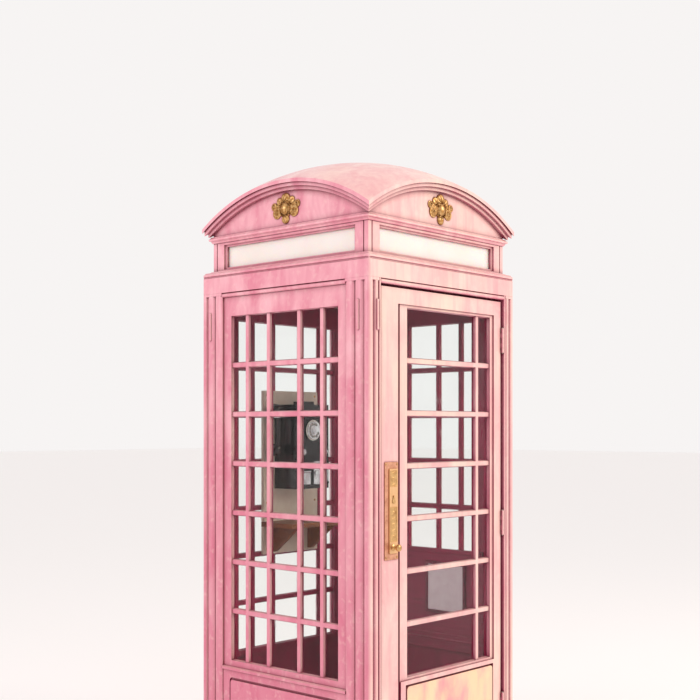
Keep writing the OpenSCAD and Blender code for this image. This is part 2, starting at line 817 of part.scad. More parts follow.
// Pivoted arm that ends in a two-pronged fork
module switch_hook() {
    color("silver") {
        translate([handset_x + 17, hook_y - 3, hook_z - 3])
            cube([hook_pivot_x - handset_x - 17, 6, 6]);
        translate([hook_pivot_x, hook_y - 8, hook_z]) rotate([-90, 0, 0]) cylinder(h = 16, r = 6);
        translate([hook_pivot_x, hook_y - 12.3, hook_z]) rotate([-90, 0, 0]) cylinder(h = 24.6, r = 3);
        translate([handset_x - 18, hook_y + 16, hook_z - 7]) cube([36, 6, 6]);
        translate([handset_x + 12, hook_y - 3, hook_z - 3]) cube([6, 25, 6]);
        for (x = [-14, 14])
            translate([handset_x + x, hook_y - 22, hook_z]) rotate([-90, 0, 0]) cylinder(h = 44, r = prong_r);
    }
}

module handset() {
    mouth_z = ear_z - 168;
    color("dimgray") translate([handset_x, hook_y, 0]) {
        translate([0, 0, mouth_z]) cylinder(h = ear_z - mouth_z, r = handle_r);
        translate([0, -12, ear_z]) rotate([-90, 0, 0]) cylinder(h = 40, r = ear_r);
        translate([0, -12, mouth_z]) rotate([-90, 0, 0]) cylinder(h = 36, r = ear_r - 2);
        translate([0, 28, ear_z]) rotate([-90, 0, 0]) cylinder(h = 6, r1 = ear_r, r2 = ear_r - 6);
        translate([0, 24, mouth_z]) rotate([-90, 0, 0]) cylinder(h = 10, r1 = ear_r - 2, r2 = ear_r - 8);
        // gland for the flexible cord
        translate([0, 0, mouth_z - ear_r - 10]) cylinder(h = 16, r = 5);
    }
}

// Parcel shelf on two brackets
module shelf() {
    color("saddlebrown") {
        translate([-shelf_half, phone_back - 190, shelf_z]) cube([2 * shelf_half, 190, 20]);
        for (x = [-120, 100])
            translate([x, 0, 0]) rotate([90, 0, 90]) linear_extrude(20)
                polygon([[phone_back, shelf_z], [phone_back - 150, shelf_z], [phone_back - 140, shelf_z - 14],
                         [phone_back - 20, shelf_z - 110], [phone_back, shelf_z - 110]]);
    }
}

// Timber panelling inside the right wall, up to a moulded ledge
module dado_panel() {
    back = sash_d + sash_t;
    low = glass_z - 24;
    color("maroon") on_face("right") {
        face_box(-opening_half, opening_half, back, back + 10, low, dado_top);
        face_box(-opening_half, opening_half, back, back + 22, dado_top, dado_top + 18);
        for (z = [low + 40, low + 62])
            face_box(-opening_half, opening_half, back + 10, back + 15, z, z + 8);
    }
}

// A framed notice panel on the dado
module notice_board() {
    back = sash_d + sash_t + 10;
    color("gainsboro") on_face("right") face_box(-240, -44, back, back + 6, 648, 852);
}

// ---------- assembly ----------

concrete_base();
sill_ring();
floor_plate();
threshold();
post_front_left();
post_front_right();
post_back_left();
post_back_right();
left_wall();
right_wall();
back_wall();
door_frame();
casting_bolts();
tie_bolt_covers();
left_sash();
right_sash();
back_sash();
left_panes();
right_panes();
back_panes();
frieze_ring();
fascia_ring();
sign_panels();
cornice_ring();
pediment_ring();
roof_dome();
ornament_front();
ornament_left();
ornament_back();
ornament_right();
ceiling_panel();
lamp_holder();
lamp_globe();
door_leaf();
door_glazing();
door_panes();
door_kick_panel();
hinge_frame_leaves();
hinge_door_leaves();
hinge_pins();
lock_plate();
lock_case();
keyhole_cover();
door_knob();
lock_bolt();
strike_plate();
inside_pull();
backboard();
phone_case();
phone_dial();
button_a();
button_b();
return_flap();
cash_door();
switch_hook();
handset();
shelf();
dado_panel();
notice_board();
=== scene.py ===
"""Looks of a pink cast-iron telephone booth: paint, glass, gilding, brass and the telephone inside it."""
import math

import bmesh
import bpy
import numpy as np
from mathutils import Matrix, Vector


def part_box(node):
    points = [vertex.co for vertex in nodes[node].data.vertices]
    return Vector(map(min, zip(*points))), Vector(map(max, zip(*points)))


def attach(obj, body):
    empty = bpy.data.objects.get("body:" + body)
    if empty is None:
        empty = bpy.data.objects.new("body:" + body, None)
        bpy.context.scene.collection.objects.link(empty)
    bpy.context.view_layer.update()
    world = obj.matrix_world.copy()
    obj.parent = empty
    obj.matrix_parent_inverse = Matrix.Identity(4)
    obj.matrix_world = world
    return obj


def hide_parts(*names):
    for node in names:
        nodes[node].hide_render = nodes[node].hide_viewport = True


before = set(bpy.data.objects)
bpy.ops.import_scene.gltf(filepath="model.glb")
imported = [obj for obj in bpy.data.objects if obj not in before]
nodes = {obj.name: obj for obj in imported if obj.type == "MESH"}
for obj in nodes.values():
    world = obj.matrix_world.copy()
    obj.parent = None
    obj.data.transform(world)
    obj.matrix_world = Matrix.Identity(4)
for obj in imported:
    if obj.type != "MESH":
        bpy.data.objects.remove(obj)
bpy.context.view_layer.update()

MM = 0.001
scene = bpy.context.scene

# ---------- camera ----------
# A standing viewer's eye, level, across the corner between the left wall and the door.
# The lens is shifted upwards, as an architect's is, so that the walls stay upright.
EYE_HEIGHT = 1.44
CORNER_DISTANCE = 4.154
SIDE_STEP = 0.068
SIGHT_ANGLE = math.radians(-47.7)
SILL_PROJECTION = 4 * MM
booth_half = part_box("sill_ring")[1].x - SILL_PROJECTION

sight = Vector((-math.sin(SIGHT_ANGLE), math.cos(SIGHT_ANGLE), 0))
across = Vector((sight.y, -sight.x, 0))
near_corner = Vector((-booth_half, -booth_half, 0))
camera_data = bpy.data.cameras.new("camera")
camera_data.lens = 59.6
camera_data.shift_y = 0.1114
camera = bpy.data.objects.new("camera", camera_data)
camera.location = near_corner - sight * CORNER_DISTANCE - across * SIDE_STEP + Vector((0, 0, EYE_HEIGHT))
camera.rotation_euler = (math.pi / 2, 0, SIGHT_ANGLE)
scene.collection.objects.link(camera)
scene.camera = camera


# ---------- studio floor and light ----------
# A pale floor that runs to the horizon under a pale sky, one broad warm light on the door side and
# a weaker one on the left wall.
def linear(code):
    """The linear colour, with an alpha of 1, of an sRGB hex code such as "f4a3b0"."""
    parts = [int(code[i:i + 2], 16) / 255 for i in (0, 2, 4)]
    return tuple(c / 12.92 if c <= 0.04045 else ((c + 0.055) / 1.055) ** 2.4 for c in parts) + (1.0,)


def add_node(material, kind, links=None, **settings):
    """Adds a node of that kind. links holds its inputs by name or number, each a value or a socket."""
    node = material.node_tree.nodes.new(kind)
    for name, value in settings.items():
        setattr(node, name, value)
    for name, value in (links or {}).items():
        if isinstance(value, bpy.types.NodeSocket):
            material.node_tree.links.new(value, node.inputs[name])
        else:
            node.inputs[name].default_value = value
    return node


def new_material(name, **shader_values):
    """A node material and its Principled shader, with values set by socket name, _ for a space."""
    material = bpy.data.materials.new(name)
    material.use_nodes = True
    shader = material.node_tree.nodes["Principled BSDF"]
    for socket, value in shader_values.items():
        shader.inputs[socket.replace("_", " ")].default_value = value
    return material, shader


def area_light(name, place, target, size, power, colour):
    """A soft square light of that size and power, aimed at a point."""
    data = bpy.data.lights.new(name, "AREA")
    data.size = size
    data.energy = power
    data.color = linear(colour)[:3]
    light = bpy.data.objects.new(name, data)
    light.location = place
    light.rotation_euler = (Vector(target) - Vector(place)).to_track_quat("-Z", "Y").to_euler()
    scene.collection.objects.link(light)


FLOOR_REACH = 60
floor_mesh = bpy.data.meshes.new("studio_floor")
floor_mesh.from_pydata([(x * FLOOR_REACH, y * FLOOR_REACH, 0) for x, y in
                        ((-1, -1), (1, -1), (1, 1), (-1, 1))], [], [(0, 1, 2, 3)])
floor = bpy.data.objects.new("studio_floor", floor_mesh)
scene.collection.objects.link(floor)
floor_mesh.materials.append(new_material("studio_floor", Base_Color=linear("fbf8f7"), Roughness=0.9)[0])

booth_middle = (0, 0, 1.3)
area_light("door_side_light", (2.6, -5.0, 4.0), booth_middle, 2.6, 130, "ffefe2")
area_light("left_side_light", (-5.5, 1.4, 3.4), booth_middle, 2.4, 60, "fff0f3")
world = bpy.data.worlds.new("pale_sky")
world.use_nodes = True
world.node_tree.nodes["Background"].inputs["Color"].default_value = linear("fffcfb")
world.node_tree.nodes["Background"].inputs["Strength"].default_value = 0.93
scene.world = world
scene.view_settings.view_transform = "Standard"

# ---------- base slab and floor ----------
# A slab of cast concrete carries the sill, and trowelled screed fills the floor inside it.
# Both show cloudy patches, fine grit and shallow pits.
CLOUD_SIZE = 90 * MM
GRIT_SIZE = 3 * MM


def set_material(names, material):
    """Gives CAD nodes that material in every slot."""
    for name in names:
        slots = nodes[name].data.materials
        for i in range(len(slots)):
            slots[i] = material


def soften(names, radius_mm, angle=30):
    """Rounds the sharp edges of CAD nodes as paint or wear does: joins loose triangles, then bevels."""
    for name in names:
        weld = nodes[name].modifiers.new("weld", "WELD")
        weld.merge_threshold = 0.02 * MM
        planes = nodes[name].modifiers.new("planes", "DECIMATE")
        planes.decimate_type = "DISSOLVE"
        planes.angle_limit = math.radians(0.4)
        edges = nodes[name].modifiers.new("edges", "BEVEL")
        edges.width = radius_mm * MM
        edges.segments = 2
        edges.limit_method = "ANGLE"
        edges.angle_limit = math.radians(angle)
        shading = nodes[name].modifiers.new("shading", "WEIGHTED_NORMAL")
        shading.keep_sharp = True


def coats(material, first, *others):
    """A colour built up in coats, each an amount from 0 to 1 and a colour that hides that much of what is
    under it. A colour is a hex code or a socket."""
    for amount, colour in others:
        under, over = (linear(c) if isinstance(c, str) else c for c in (first, colour))
        first = add_node(material, "ShaderNodeMix", {0: amount, 6: under, 7: over},
                         data_type="RGBA").outputs[2]
    return first


def cast_stone(name, pale, dark, roughness):
    """Concrete: cloudy patches and grit in the colour, pits in the surface. Dry, dull and grainy."""
    material, shader = new_material(name, Roughness=roughness)
    link = material.node_tree.links.new
    place = add_node(material, "ShaderNodeTexCoord").outputs["Object"]
    clouds = add_node(material, "ShaderNodeTexNoise", {"Vector": place, "Scale": 1 / CLOUD_SIZE,
                      "Detail": 6})
    grit = add_node(material, "ShaderNodeTexNoise", {"Vector": place, "Scale": 1 / GRIT_SIZE, "Detail": 2})
    amount = add_node(material, "ShaderNodeMath", {0: clouds.outputs[0], 1: grit.outputs[0], 2: 0.2},
                      operation="MULTIPLY_ADD")
    bump = add_node(material, "ShaderNodeBump", {"Height": grit.outputs[0], "Strength": 0.5,
                                                 "Distance": 0.8 * MM})
    link(coats(material, dark, (amount.outputs[0], pale)), shader.inputs["Base Color"])
    link(bump.outputs[0], shader.inputs["Normal"])
    return material


soften(["concrete_base"], 4)
soften(["floor_plate"], 1)
set_material(["concrete_base"], cast_stone("cast_concrete", "d2ccc4", "8d867e", 0.9))
set_material(["floor_plate"], cast_stone("maroon_painted_screed", "86304a", "541c2e", 0.7))

# ---------- sill, posts and walls ----------
# Iron castings, sand-cast and bolted together, under many brushed coats of pink gloss enamel.
# The side and the ledges that face the light are painted peach as painted light, and the inside is dark
# maroon.
PAINTED_LIGHT_DIRECTION = (0.25, -0.72, 0.65)
BLOTCH_SIZE = 110 * MM
SPECK_SIZE = 22 * MM
BRUSH_WIDTH = 7 * MM
CAST_SIZE = 38 * MM
GROOVE_SHADE_REACH = 28 * MM
SIGN_HEIGHT = 1.99
CASTING_DEPTH = 25.5 * MM


def patches(material, place, size, low, high, most=1.0, **more):
    """Noise with patches of that size, cut so that it is 0 up to low and rises to most at high."""
    noise = add_node(material, "ShaderNodeTexNoise", {"Vector": place, "Scale": 1 / size, **more})
    return add_node(material, "ShaderNodeMapRange", {"Value": noise.outputs[0], "From Min": low,
                    "From Max": high, "To Max": most}).outputs[0]


def hollows(material, reach, low, high, most, samples):
    """0 on open faces and up to most in grooves and corners, by how free the air within reach is."""
    free = add_node(material, "ShaderNodeAmbientOcclusion", {"Distance": reach}, samples=samples)
    return add_node(material, "ShaderNodeMapRange", {"Value": free.outputs["AO"], "From Min": low,
                    "From Max": high, "To Min": most, "To Max": 0.0}).outputs[0]


def brush_marks(material, place, depth_mm, under=None):
    """The normal of a brushed coat: fine noise drawn out up and down, over the relief under it."""
    drawn = add_node(material, "ShaderNodeMapping", {"Vector": place, "Scale": (1, 1, 0.06)}).outputs[0]
    brush = add_node(material, "ShaderNodeTexNoise", {"Vector": drawn, "Scale": 1 / BRUSH_WIDTH,
                     "Detail": 3}).outputs[0]
    links = {"Height": brush, "Strength": 0.5, "Distance": depth_mm * MM}
    if under:
        links["Normal"] = under
    return add_node(material, "ShaderNodeBump", links).outputs[0]


def booth_paint(name, inside, brush_depth_mm, roughness=0.3, creaminess=0.5):
    """Brushed gloss enamel. Gives soft pink blotches, painted light in peach and cream on the faces turned
    to the light, painted shade in the grooves and towards the ground, rain streaks, brush marks and uneven
    castings under a fairly tight gloss. inside is how far from the middle the maroon begins."""
    material, shader = new_material(name, Coat_Weight=0.25, Coat_Roughness=0.12)
    link = material.node_tree.links.new
    coordinates = add_node(material, "ShaderNodeTexCoord")
    place = coordinates.outputs["Object"]

    # painted light: peach and cream on the faces turned up and to the front, pink on the others, with
    # painted shade deepening the pink towards the ground
    tall = add_node(material, "ShaderNodeMapping", {"Vector": place, "Scale": (1, 1, 0.4)}).outputs[0]
    blotch = patches(material, tall, BLOTCH_SIZE, 0.34, 0.66, Detail=5, Roughness=0.6, Distortion=0.6)
    pink = coats(material, "e08499", (blotch, "f6b8c1"))
    height = add_node(material, "ShaderNodeSeparateXYZ", {0: place}).outputs[2]
    # painted shade: the pink is darker towards the ground
    shade = add_node(material, "ShaderNodeMapRange", {"Value": height, "From Min": 0.5, "From Max": 2.1,
                     "To Min": 0.55, "To Max": 0.0}).outputs[0]
    pink = coats(material, pink, (shade, "cd5c7c"))
    cream = add_node(material, "ShaderNodeTexNoise", {"Vector": tall, "Scale": 1 / (1.7 * BLOTCH_SIZE),
                     "Detail": 3, "W": 4.0}, noise_dimensions="4D").outputs[0]
    cream = add_node(material, "ShaderNodeMapRange", {"Value": cream, "From Min": 0.46, "From Max": 0.7,
                     "To Max": creaminess}).outputs[0]
    lit_peach = coats(material, "eeb0b0", (blotch, "f6cec5"), (cream, "fbe0c8"))
    # painted light: faces turned up and to the front take the peach colour
    painted_light = add_node(material, "ShaderNodeVectorMath", {0: coordinates.outputs["Normal"], 1: PAINTED_LIGHT_DIRECTION},
                   operation="DOT_PRODUCT").outputs["Value"]
    painted_light = add_node(material, "ShaderNodeMapRange", {"Value": painted_light, "From Min": 0.0, "From Max": 0.8},
                   interpolation_type="SMOOTHSTEP").outputs[0]

    # small chalky specks, streaks that rain has drawn down the faces, and painted shade in the grooves
    speck = patches(material, place, SPECK_SIZE, 0.56, 0.72, 0.25, Detail=4)
    drawn = add_node(material, "ShaderNodeMapping", {"Vector": place, "Scale": (1, 1, 0.05)}).outputs[0]
    streak = patches(material, drawn, SPECK_SIZE, 0.5, 0.8, 0.3, Detail=3)
    # painted shade: darker in grooves and corners
    groove_shade = hollows(material, GROOVE_SHADE_REACH, 0.42, 0.99, 1.0, 6)

    # inside the booth, below the signs, the paint is maroon
    reach = add_node(material, "ShaderNodeVectorMath", {0: place}, operation="ABSOLUTE").outputs[0]
    axes = add_node(material, "ShaderNodeSeparateXYZ", {0: reach})
    reach = add_node(material, "ShaderNodeMath", {0: axes.outputs[0], 1: axes.outputs[1]},
                     operation="MAXIMUM").outputs[0]
    indoors = add_node(material, "ShaderNodeMath", {0: reach, 1: inside}, operation="LESS_THAN").outputs[0]
    low = add_node(material, "ShaderNodeMath", {0: axes.outputs[2], 1: SIGN_HEIGHT},
                   operation="LESS_THAN").outputs[0]
    indoors = add_node(material, "ShaderNodeMath", {0: indoors, 1: low}, operation="MULTIPLY").outputs[0]
    maroon = coats(material, "8c1a3e", (blotch, "b02a54"))
    link(coats(material, pink, (painted_light, lit_peach), (speck, "fbdcd2"), (streak, "d67b90"), (groove_shade, "7f253c"),
               (indoors, maroon)), shader.inputs["Base Color"])

    # brush marks run up and down, over the slow waves of the casting
    cast = add_node(material, "ShaderNodeTexNoise", {"Vector": place, "Scale": 1 / CAST_SIZE,
                    "Detail": 4}).outputs[0]
    waves = add_node(material, "ShaderNodeBump", {"Height": cast, "Strength": 0.35, "Distance": 1.6 * MM})
    link(brush_marks(material, place, brush_depth_mm, waves.outputs[0]), shader.inputs["Normal"])
    dull = add_node(material, "ShaderNodeMapRange", {"Value": blotch, "To Min": roughness + 0.14,
                    "To Max": roughness}).outputs[0]
    link(dull, shader.inputs["Roughness"])
    return material


CASTINGS = ["sill_ring", "post_front_left", "post_front_right", "post_back_left", "post_back_right",
            "left_wall", "right_wall", "back_wall", "door_frame", "tie_bolt_covers", "frieze_ring",
            "fascia_ring", "cornice_ring", "pediment_ring", "roof_dome"]
cast_iron_paint = booth_paint("gloss_enamel_on_cast_iron", booth_half - CASTING_DEPTH, 0.5)
set_material(CASTINGS, cast_iron_paint)
soften([name for name in CASTINGS if name not in ("roof_dome", "tie_bolt_covers")], 1.6)

# ---------- metal fittings of the shell ----------
# Galvanised bolts clamp the castings together from inside, and a worn brass strip covers the sill
# under the door.
BRUSHED_WIDTH = 1.2 * MM
TARNISH_SIZE = 32 * MM


def worn_metal(name, clean, tarnished, roughness, grain=(1, 1, 0.04), tarnish=0.6):
    """Rubbed metal. Gives fine brushed lines along one axis and duller, darker patches of tarnish."""
    material, shader = new_material(name, Metallic=1.0)
    link = material.node_tree.links.new
    place = add_node(material, "ShaderNodeTexCoord").outputs["Object"]
    patch = patches(material, place, TARNISH_SIZE, 0.42, 0.68, tarnish, Detail=6, Roughness=0.65)
    sheltered = hollows(material, 6 * MM, 0.45, 0.97, 1.0, 4)
    dark = add_node(material, "ShaderNodeMath", {0: patch, 1: sheltered}, operation="MAXIMUM").outputs[0]
    link(coats(material, clean, (dark, tarnished)), shader.inputs["Base Color"])
    drawn = add_node(material, "ShaderNodeMapping", {"Vector": place, "Scale": grain}).outputs[0]
    lines = add_node(material, "ShaderNodeTexNoise", {"Vector": drawn, "Scale": 1 / BRUSHED_WIDTH,
                     "Detail": 2}).outputs[0]
    dull = add_node(material, "ShaderNodeMath", {0: dark, 1: 0.25, 2: roughness},
                    operation="MULTIPLY_ADD").outputs[0]
    dull = add_node(material, "ShaderNodeMath", {0: lines, 1: 0.12, 2: dull},
                    operation="MULTIPLY_ADD").outputs[0]
    link(dull, shader.inputs["Roughness"])
    bump = add_node(material, "ShaderNodeBump", {"Height": lines, "Strength": 0.25, "Distance": 0.15 * MM})
    link(bump.outputs[0], shader.inputs["Normal"])
    return material


set_material(["casting_bolts"], worn_metal("galvanised_steel", "b9babb", "6f6260", 0.4))
set_material(["threshold"], worn_metal("trodden_brass", "d8b27c", "8a6540", 0.35, (0.04, 1, 1)))
soften(["threshold"], 1)

# ---------- window sashes ----------
# Painted timber sashes, a field of seven rows of panes with narrow margin lights on both sides.
# Each pane is set in linseed putty, run off with a knife and painted with the bars.
PUTTY_REACH = 3.5 * MM
PUTTY_RISE = 7.5 * MM
GLASS_DEPTH = 29 * MM
sash_paint = booth_paint("gloss_enamel_on_sash_timber", booth_half - GLASS_DEPTH, 0.8, 0.26)
set_material(["left_sash", "right_sash", "back_sash"], sash_paint)
soften(["left_sash", "right_sash", "back_sash"], 1.2)


def new_piece(name, points, faces, material, body, replaced=(), sharp=35):
    """Puts points (n x 3, metres) and faces (rows of corner numbers) into a piece at the origin.
    Seams and poles are merged, faces are turned outwards and creases over the sharp angle are kept."""
    mesh = bpy.data.meshes.new(name)
    mesh.from_pydata(points.tolist(), [], [list(face) for face in faces])
    work = bmesh.new()
    work.from_mesh(mesh)
    bmesh.ops.remove_doubles(work, verts=work.verts, dist=1e-6)
    bmesh.ops.dissolve_degenerate(work, edges=work.edges, dist=1e-7)
    bmesh.ops.recalc_face_normals(work, faces=work.faces)
    work.to_mesh(mesh)
    work.free()
    mesh.polygons.foreach_set("use_smooth", np.ones(len(mesh.polygons), bool))
    mesh.set_sharp_from_angle(angle=math.radians(sharp))
    mesh.materials.append(material)
    piece = bpy.data.objects.new(name, mesh)
    scene.collection.objects.link(piece)
    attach(piece, body)
    if replaced:
        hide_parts(*replaced)
    return piece


def turn_about_z(points, quarter_turns):
    """Points (..., 3) turned about Z by whole quarter turns."""
    x, y, z = np.moveaxis(points, -1, 0)
    for _ in range(quarter_turns % 4):
        x, y = -y, x
    return np.stack([x, y, z], -1)


def mitred_rings(left, right, bottom, top, section):
    """Closed mouldings round upright rectangles, given as arrays. Each point of the closed section, set
    in from the edge and standing out from it, makes a loop of four corners, so they are mitred."""
    set_in, out = np.array(section, float).T
    corner_x = np.stack([left, right, right, left], -1)[:, None, :]
    corner_z = np.stack([bottom, bottom, top, top], -1)[:, None, :]
    x = corner_x + set_in[:, None] * np.array([1, -1, -1, 1])
    z = corner_z + set_in[:, None] * np.array([1, 1, -1, -1])
    y = np.broadcast_to(-out[:, None], x.shape)
    ring = grid_faces(len(section), 4, True, True)
    faces = ring[None] + 4 * len(section) * np.arange(len(left))[:, None, None]
    return np.stack([x, y, z], -1).reshape(-1, 3), faces.reshape(-1, 4)


def pane_putty(panes_node, turns, rise):
    """Three-cornered beads round every pane, on both of its faces. The panes are upright boxes in columns
    and rows, so their edges are the distinct x and z values, two for each column and each row."""
    co = np.empty(len(nodes[panes_node].data.vertices) * 3, np.float32)
    nodes[panes_node].data.vertices.foreach_get("co", co)
    flat = turn_about_z(co.reshape(-1, 3).astype(float), -turns)
    x, z = np.unique(np.round(flat[:, 0], 5)), np.unique(np.round(flat[:, 2], 5))
    left, bottom = (g.ravel() for g in np.meshgrid(x[0::2], z[0::2], indexing="ij"))
    right, top = (g.ravel() for g in np.meshgrid(x[1::2], z[1::2], indexing="ij"))
    points, faces = [], []
    for plane, way in ((flat[:, 1].min(), 1), (flat[:, 1].max(), -1)):
        section = [(0, rise * way), (PUTTY_REACH, 0), (-0.5 * MM, -0.5 * MM * way)]
        beads, beads_faces = mitred_rings(left, right, bottom, top, section)
        faces.append(beads_faces + sum(len(part) for part in points))
        points.append(beads + (0, plane, 0))
    return turn_about_z(np.concatenate(points), turns), np.concatenate(faces)


def grid_faces(rows, columns, rows_meet=False, columns_meet=False):
    """The quads of a grid numbered row by row: (r, c), (r, c + 1), (r + 1, c + 1), (r + 1, c)."""
    r, c = np.meshgrid(np.arange(rows - (not rows_meet)), np.arange(columns - (not columns_meet)),
                       indexing="ij")
    r2, c2 = (r + 1) % rows, (c + 1) % columns
    return np.stack([r * columns + c, r * columns + c2, r2 * columns + c2, r2 * columns + c],
                    -1).reshape(-1, 4)


for side_name, turns in (("left", 3), ("right", 1), ("back", 2)):
    points, faces = pane_putty(side_name + "_panes", turns, PUTTY_RISE)
    new_piece(side_name + "_putty", points, faces, sash_paint, "booth")

# ---------- window panes ----------
# Old drawn glass, 4 mm thick and held in putty. It is clear, with a faint green cast, slow waves and
# a little dust.
WAVE_SIZE = 70 * MM


def drawn_glass(name):
    """Drawn window glass: almost clear, with slow waves that bend the reflections, and a thin film of
    dust. Its low index keeps the studio's reflection faint, and it lets lamps through as thin panes do."""
    material, shader = new_material(name, Base_Color=linear("fbfdfc"), Transmission_Weight=1.0, IOR=1.2)
    tree = material.node_tree
    place = add_node(material, "ShaderNodeTexCoord").outputs["Object"]
    drawn = add_node(material, "ShaderNodeMapping", {"Vector": place, "Scale": (1, 1, 0.35)}).outputs[0]
    wave = add_node(material, "ShaderNodeTexNoise", {"Vector": drawn, "Scale": 1 / WAVE_SIZE,
                    "Detail": 1}).outputs[0]
    bump = add_node(material, "ShaderNodeBump", {"Height": wave, "Strength": 0.35, "Distance": 1.0 * MM})
    tree.links.new(bump.outputs[0], shader.inputs["Normal"])
    film = add_node(material, "ShaderNodeTexNoise", {"Vector": drawn, "Scale": 1 / SPECK_SIZE,
                    "Detail": 4}).outputs[0]
    film = add_node(material, "ShaderNodeMapRange", {"Value": film, "From Min": 0.45, "From Max": 0.8,
                    "To Min": 0.01, "To Max": 0.12}).outputs[0]
    tree.links.new(film, shader.inputs["Roughness"])
    clear = add_node(material, "ShaderNodeBsdfTransparent", {"Color": linear("f0f8f5")})
    ray = add_node(material, "ShaderNodeLightPath").outputs["Is Shadow Ray"]
    blend = add_node(material, "ShaderNodeMixShader", {0: ray, 1: shader.outputs[0], 2: clear.outputs[0]})
    tree.links.new(blend.outputs[0], tree.nodes["Material Output"].inputs["Surface"])
    return material


window_glass = drawn_glass("drawn_window_glass")
set_material(["left_panes", "right_panes", "back_panes", "door_panes"], window_glass)

# ---------- signs ----------
# Plain opal glass panels behind the fascia's openings. The glass is milky all through and a little
# yellowed, with painted shade along its edges where the fascia's reveal overhangs it.
opal, opal_shader = new_material("opal_flashed_glass", Roughness=0.18, Subsurface_Weight=0.4,
                                 Subsurface_Scale=4 * MM, Coat_Weight=0.5, Coat_Roughness=0.05)
place = add_node(opal, "ShaderNodeTexCoord").outputs["Object"]
cloud = add_node(opal, "ShaderNodeTexNoise", {"Vector": place, "Scale": 1 / (140 * MM),
                 "Detail": 4}).outputs[0]
# painted shade: darker towards the edges, where the reveal shades the panel
reveal_shade = hollows(opal, 26 * MM, 0.3, 0.9, 0.55, 6)
opal.node_tree.links.new(coats(opal, "fbf8f4", (cloud, "efe6dc"), (reveal_shade, "c99a96")),
                         opal_shader.inputs["Base Color"])
set_material(["sign_panels"], opal)
soften(["sign_panels"], 0.8)

# ---------- gilded cartouches ----------
# One on each pediment: an oval boss in a beaded ring between two scrolls, under a shell and over a
# drop. Cast in relief, primed and gilded, with the gold paler and darker in small patches.
CARTOUCHE_DEPTH = 16
AROUND, ACROSS = 400, 120


def ellipse(x, y, centre_x, centre_y, half_x, half_y):
    """0 in the middle of an ellipse, 1 on its edge."""
    return np.hypot((x - centre_x) / half_x, (y - centre_y) / half_y)


def dome_over(ratio, height):
    """A round-topped mound of that height over an ellipse's ratio, and nothing outside it."""
    return height * np.sqrt(np.clip(1 - ratio ** 2, 0, 1))


def cartouche_relief(x, y):
    """Height in mm over a point: the highest of the boss, the beaded ring, the scrolls (spiral ridges
    on mounds), the shell (ribs that fan from its root), the drop and the band behind them."""
    boss = dome_over(ellipse(x, y, 0, -1, 20, 26), CARTOUCHE_DEPTH)
    ring_ratio = ellipse(x, y, 0, -1, 27, 33)
    around = np.arctan2((y + 1) / 33, x / 27)
    ring = 9.5 * np.exp(-((ring_ratio - 1) / 0.10) ** 2) * (0.76 + 0.24 * np.cos(32 * around))
    height = np.maximum(boss, ring)
    for side in (-1, 1):
        for centre_x, centre_y, reach, turns_in in ((46, -14, 24, 2.2), (63, 12, 16, 1.7)):
            q = ellipse(x, y, side * centre_x, centre_y, reach, reach)
            turn = np.arctan2(y - centre_y, side * (x - side * centre_x))
            ridge = 2.5 * (1 + np.cos(2 * np.pi * turns_in * q + turn)) * np.clip(1.5 * (1 - q), 0, 1)
            height = np.maximum(height, dome_over(q, 7.5) * 0.55 + ridge)
        q = ellipse(x, y, side * 33, 30, 17, 15)
        rib = np.abs(np.cos(3 * np.arctan2(y - 18, x - side * 20)))
        height = np.maximum(height, dome_over(q, 7) * (0.6 + 0.4 * rib))
    q = ellipse(x, y, 0, 34, 26, 26)
    shell = dome_over(q, 10) * (0.62 + 0.38 * np.abs(np.cos(4.5 * np.arctan2(y - 22, x))))
    q = ellipse(x, y, 0, -41, 20, 19)
    drop = dome_over(q, 9) * (0.66 + 0.34 * np.abs(np.cos(2.5 * np.arctan2(y + 30, x))))
    band = dome_over(ellipse(x, y, 0, -4, 62, 19), 4.5)
    return np.maximum.reduce([height, shell, drop, band])


def cartouche_grid():
    """Points (x, y, height) on rays from the middle out to where the relief ends, then back under it."""
    angle = np.linspace(0, 2 * np.pi, AROUND, endpoint=False)
    probe = np.linspace(0, 82, 830)
    height = cartouche_relief(np.cos(angle)[:, None] * probe, np.sin(angle)[:, None] * probe)
    rim = probe[height.shape[1] - 1 - np.argmax(height[:, ::-1] > 1.6, axis=1)]
    rim = (rim + np.roll(rim, 1) + np.roll(rim, -1)) / 3
    share = np.linspace(0, 1, ACROSS) ** 0.85
    radius = rim[:, None] * share
    x, y = np.cos(angle)[:, None] * radius, np.sin(angle)[:, None] * radius
    top = np.stack([x, y, cartouche_relief(x, y) + 1.5], -1)
    edge = top[:, -1:].copy()
    edge[..., 2] = 0
    middle = np.zeros_like(edge)
    points = np.concatenate([top, edge, middle], 1).reshape(-1, 3)
    return points, grid_faces(AROUND, ACROSS + 2, True, False)


gold, gold_shader = new_material("worn_gold_leaf", Metallic=1.0)
place = add_node(gold, "ShaderNodeTexCoord").outputs["Object"]
leaf = patches(gold, place, 9 * MM, 0.35, 0.65, Detail=5)
hollow = hollows(gold, 7 * MM, 0.35, 0.95, 0.9, 8)
gold.node_tree.links.new(coats(gold, "a9793f", (leaf, "dcb57e"), (hollow, "5f3a26")),
                         gold_shader.inputs["Base Color"])
dull = add_node(gold, "ShaderNodeMapRange", {"Value": leaf, "To Min": 0.55, "To Max": 0.34}).outputs[0]
gold.node_tree.links.new(dull, gold_shader.inputs["Roughness"])
wrinkle = add_node(gold, "ShaderNodeTexNoise", {"Vector": place, "Scale": 1 / (2.5 * MM), "Detail": 3})
wrinkle = add_node(gold, "ShaderNodeBump", {"Height": wrinkle.outputs[0], "Strength": 0.3,
                   "Distance": 0.4 * MM})
gold.node_tree.links.new(wrinkle.outputs[0], gold_shader.inputs["Normal"])

